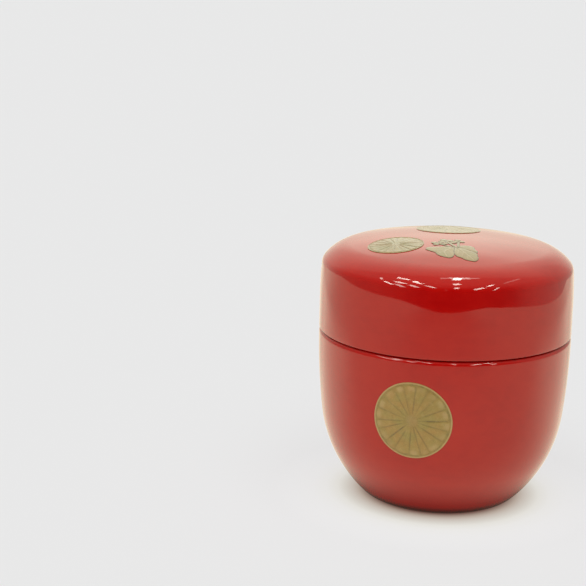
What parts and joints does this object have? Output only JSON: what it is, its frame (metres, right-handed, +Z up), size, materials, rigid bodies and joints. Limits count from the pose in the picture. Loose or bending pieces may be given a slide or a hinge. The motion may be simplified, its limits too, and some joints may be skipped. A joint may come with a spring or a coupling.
{
  "type": "lacquer tea caddy",
  "caption": "Round red lacquer caddy for powdered tea, with a bowl-shaped body, an upright inner rim, a domed lift-off lid and gold flower and leaf ornaments.",
  "frame": {"origin": "centre of the base, on the plane that the foot ring stands on", "axes": "+Z up along the turning axis, -Y towards the viewer of the picture, +X to the viewer's right"},
  "size_m": [0.0662, 0.0662, 0.0702],
  "materials": {
    "turned_wood": "turned, unpolished, sealed under the coats",
    "hemp_cloth": "plain weave soaked in raw lacquer",
    "ground_coat": "fired-clay powder bound in raw lacquer, rubbed flat",
    "red_lacquer": "vermilion lacquer polished to a deep gloss",
    "black_lacquer": "black lacquer, soft gloss",
    "base_lacquer": "vermilion lacquer, a little rubbed on the foot ring",
    "gold": "sprinkled gold over low lacquer relief, matt"
  },
  "bodies": {
    "body": {"body_core": "turned_wood", "body_mouth_cloth": "hemp_cloth", "body_ground_coat": "ground_coat", "body_red_lacquer": "red_lacquer", "body_black_lacquer": "black_lacquer", "base_cloth": "hemp_cloth", "base_lacquer": "base_lacquer", "body_flower_front": "gold", "body_flower_back": "gold", "body_crest_back": "gold"},
    "lid": {"lid_core": "turned_wood", "lid_mouth_cloth": "hemp_cloth", "lid_ground_coat": "ground_coat", "lid_red_lacquer": "red_lacquer", "lid_black_lacquer": "black_lacquer", "lid_flower_left": "gold", "lid_flower_back": "gold", "lid_crest_front": "gold"}
  },
  "joints": [
    {"name": "lid_lift", "type": "slide", "parent": "body", "child": "lid", "axis": [0, 0, 1], "range_m": [0, 0.08]}
  ]
}
